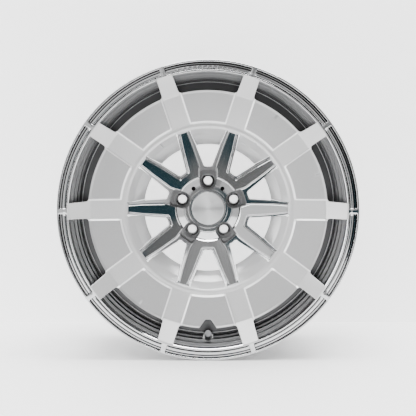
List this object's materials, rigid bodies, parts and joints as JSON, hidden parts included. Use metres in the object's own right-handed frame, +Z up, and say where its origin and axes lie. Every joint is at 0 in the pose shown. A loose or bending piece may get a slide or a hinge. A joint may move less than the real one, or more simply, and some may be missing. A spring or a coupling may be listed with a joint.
{
  "type": "racing wheel rim",
  "caption": "Forged racing wheel rim with a bolted barrel and spoked centre, a dished aero disc with radial arms, a centre cap and a tyre valve.",
  "frame": {"origin": "centre of the hub mounting face, on the wheel's axis", "axes": "+Z up, +Y inboard along the wheel's axis towards the vehicle, outboard face towards -Y, tyre valve at the bottom (-Z)"},
  "size_m": [0.5477, 0.256, 0.5478],
  "materials": {
    "barrel": "machined with turned lines, clear coated",
    "centre": "polished and brushed faces",
    "disc": "satin pale silver paint",
    "brass": "machined",
    "fastener": "zinc plated",
    "steel": "turned",
    "nylon": "moulded nylon",
    "cap_face": "spun, with concentric lines",
    "cap_plastic": "moulded",
    "seal": "moulded",
    "valve_metal": "satin nickel plate",
    "valve_dark": "dark plated"
  },
  "bodies": {
    "wheel": {"rim_barrel": "barrel", "forged_centre": "centre", "aero_disc": "disc", "disc_inserts": "brass", "disc_screws": "fastener", "disc_spacers": "nylon", "rim_bolts": "fastener", "rim_washers": "fastener", "pad_inserts": "steel", "lug_seats": "steel", "valve_stem": "valve_metal", "valve_grommet": "seal", "valve_washer": "valve_metal", "valve_nut": "valve_dark", "valve_core": "brass", "valve_spring": "fastener"},
    "centre_cap": {"cap_face": "cap_face", "cap_body": "cap_plastic", "cap_ring": "fastener", "cap_o_ring": "seal"},
    "core_pin": {"valve_pin": "brass"},
    "valve_cap_seal": {"valve_cap_seal": "seal"},
    "valve_cap": {"valve_cap": "valve_metal"}
  },
  "joints": [
    {"name": "cap_pull", "type": "slide", "parent": "wheel", "child": "centre_cap", "axis": [0, -1, 0], "range_m": [0, 0.025]},
    {"name": "pin_press", "type": "slide", "parent": "wheel", "child": "core_pin", "axis": [0, 0.9135, -0.4067], "range_m": [0, 0.0012], "stiffness_N_per_m": 1500, "springref_m": -0.001, "deforming": ["valve_spring"]},
    {"name": "valve_cap_rise", "type": "slide", "parent": "wheel", "child": "valve_cap_seal", "axis": [0, -0.9135, 0.4067], "range_m": [0, 0.0048]},
    {"name": "valve_cap_turn", "type": "hinge", "parent": "valve_cap_seal", "child": "valve_cap", "pos_m": [0, -0.036, -0.243], "axis": [0, -0.9135, 0.4067], "range_deg": [0, 2160]}
  ],
  "couplings": [
    {"joint": "valve_cap_rise", "follows": "valve_cap_turn", "m_per_rad": 0.00012637}
  ]
}
